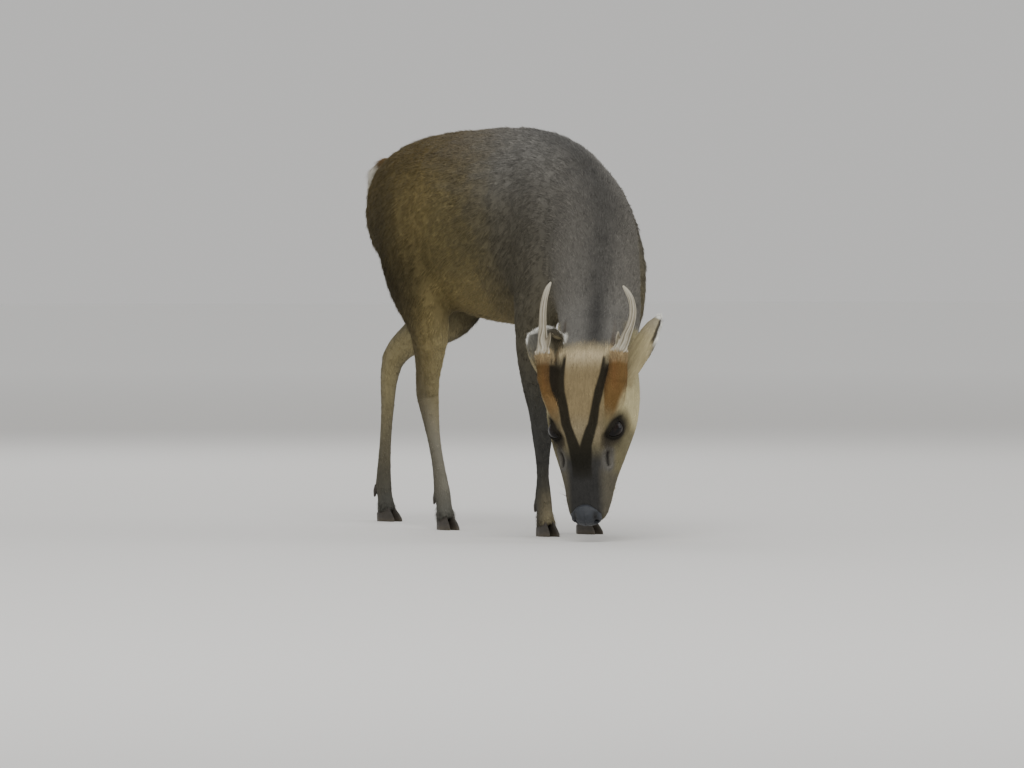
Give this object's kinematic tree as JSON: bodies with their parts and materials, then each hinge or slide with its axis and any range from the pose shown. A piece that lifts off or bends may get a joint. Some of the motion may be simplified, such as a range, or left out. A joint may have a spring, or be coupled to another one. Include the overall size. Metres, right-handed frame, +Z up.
{
  "type": "muntjac",
  "caption": "Small antlered deer, life size, stepping forward with its head lowered and turned aside to graze.",
  "frame": {"origin": "on the floor, under the middle of the bounding box", "axes": "-Y the way the animal faces, +X its left, +Z up"},
  "size_m": [0.2248, 0.7442, 0.4707],
  "materials": {
    "coat": "short flat-lying brown hair",
    "dark_coat": "short dark brown hair",
    "antler": "grooved pale bone",
    "hoof": "dull dark horn",
    "eye": "wet and glossy",
    "nose_leather": "moist black skin",
    "tusk": "smooth ivory"
  },
  "bodies": {
    "root": {"head": "coat", "left_antler_beam": "antler", "left_brow_tine": "antler", "left_ear": "coat", "left_eye": "eye", "left_fore_cannon": "dark_coat", "left_fore_inner_claw": "hoof", "left_fore_inner_dewclaw": "hoof", "left_fore_outer_claw": "hoof", "left_fore_outer_dewclaw": "hoof", "left_fore_pastern": "dark_coat", "left_forearm": "dark_coat", "left_hind_cannon": "dark_coat", "left_hind_inner_claw": "hoof", "left_hind_inner_dewclaw": "hoof", "left_hind_outer_claw": "hoof", "left_hind_outer_dewclaw": "hoof", "left_hind_pastern": "dark_coat", "left_pedicle": "coat", "left_shank": "dark_coat", "left_thigh": "coat", "left_tusk": "tusk", "left_upper_arm": "coat", "lower_jaw": "coat", "neck": "coat", "nose": "nose_leather", "right_antler_beam": "antler", "right_brow_tine": "antler", "right_ear": "coat", "right_eye": "eye", "right_fore_cannon": "dark_coat", "right_fore_inner_claw": "hoof", "right_fore_inner_dewclaw": "hoof", "right_fore_outer_claw": "hoof", "right_fore_outer_dewclaw": "hoof", "right_fore_pastern": "dark_coat", "right_forearm": "dark_coat", "right_hind_cannon": "dark_coat", "right_hind_inner_claw": "hoof", "right_hind_inner_dewclaw": "hoof", "right_hind_outer_claw": "hoof", "right_hind_outer_dewclaw": "hoof", "right_hind_pastern": "dark_coat", "right_pedicle": "coat", "right_shank": "dark_coat", "right_thigh": "coat", "right_tusk": "tusk", "right_upper_arm": "coat", "tail": "coat", "torso": "coat"}
  },
  "joints": []
}
